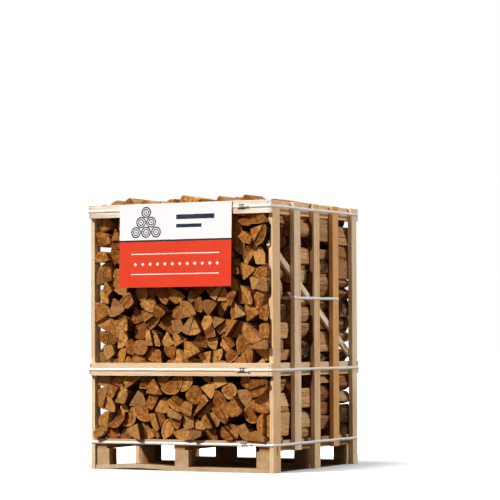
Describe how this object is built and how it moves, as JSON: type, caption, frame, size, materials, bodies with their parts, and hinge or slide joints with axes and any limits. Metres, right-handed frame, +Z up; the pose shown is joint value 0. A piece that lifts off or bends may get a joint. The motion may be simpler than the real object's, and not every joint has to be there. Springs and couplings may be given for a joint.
{
  "type": "crate of firewood",
  "caption": "Slatted wooden pallet crate stacked full of split birch firewood, held by white straps, with a printed sign.",
  "frame": {"origin": "middle of the crate's foot, on the floor under the middle bottom board", "axes": "+Z up, -Y to the front with the sign, +X to the crate's right side"},
  "size_m": [1.153, 1.1302, 1.5134],
  "materials": {
    "pine_pallet": "sawn pine, a little weathered and dirty",
    "pine_frame": "rough sawn fresh pine",
    "birch_logs": "split birch, dry ends with dark bark",
    "strap_plastic": "woven white polypropylene",
    "wire_steel": "dark wire",
    "sign_print": "printed thin panel, satin"
  },
  "bodies": {
    "root": {"bottom_board_front": "pine_pallet", "bottom_board_middle": "pine_pallet", "bottom_board_rear": "pine_pallet", "block_front_left": "pine_pallet", "block_front_centre": "pine_pallet", "block_front_right": "pine_pallet", "block_middle_left": "pine_pallet", "block_middle_centre": "pine_pallet", "block_middle_right": "pine_pallet", "block_rear_left": "pine_pallet", "block_rear_centre": "pine_pallet", "block_rear_right": "pine_pallet", "stringer_left": "pine_pallet", "stringer_centre": "pine_pallet", "stringer_right": "pine_pallet", "deck_board_1": "pine_pallet", "deck_board_2": "pine_pallet", "deck_board_3": "pine_pallet", "deck_board_4": "pine_pallet", "deck_board_5": "pine_pallet", "deck_board_6": "pine_pallet", "deck_board_7": "pine_pallet", "slat_left_1": "pine_frame", "slat_left_2": "pine_frame", "slat_left_3": "pine_frame", "slat_left_4": "pine_frame", "slat_left_5": "pine_frame", "side_rail_left_middle": "pine_frame", "side_rail_left_top": "pine_frame", "brace_left": "pine_frame", "slat_right_1": "pine_frame", "slat_right_2": "pine_frame", "slat_right_3": "pine_frame", "slat_right_4": "pine_frame", "slat_right_5": "pine_frame", "side_rail_right_middle": "pine_frame", "side_rail_right_top": "pine_frame", "brace_right": "pine_frame", "front_rail_middle": "pine_frame", "front_rail_top": "pine_frame", "rear_rail_middle": "pine_frame", "rear_rail_top": "pine_frame", "strap_bottom": "strap_plastic", "strap_middle": "strap_plastic", "strap_top": "strap_plastic", "tie_strap": "strap_plastic", "buckle_bottom": "wire_steel", "buckle_middle": "wire_steel", "buckle_top": "wire_steel", "sign_panel": "sign_print", "log_row_1": "birch_logs", "log_row_2": "birch_logs", "log_row_3": "birch_logs", "log_row_4": "birch_logs"}
  },
  "joints": []
}
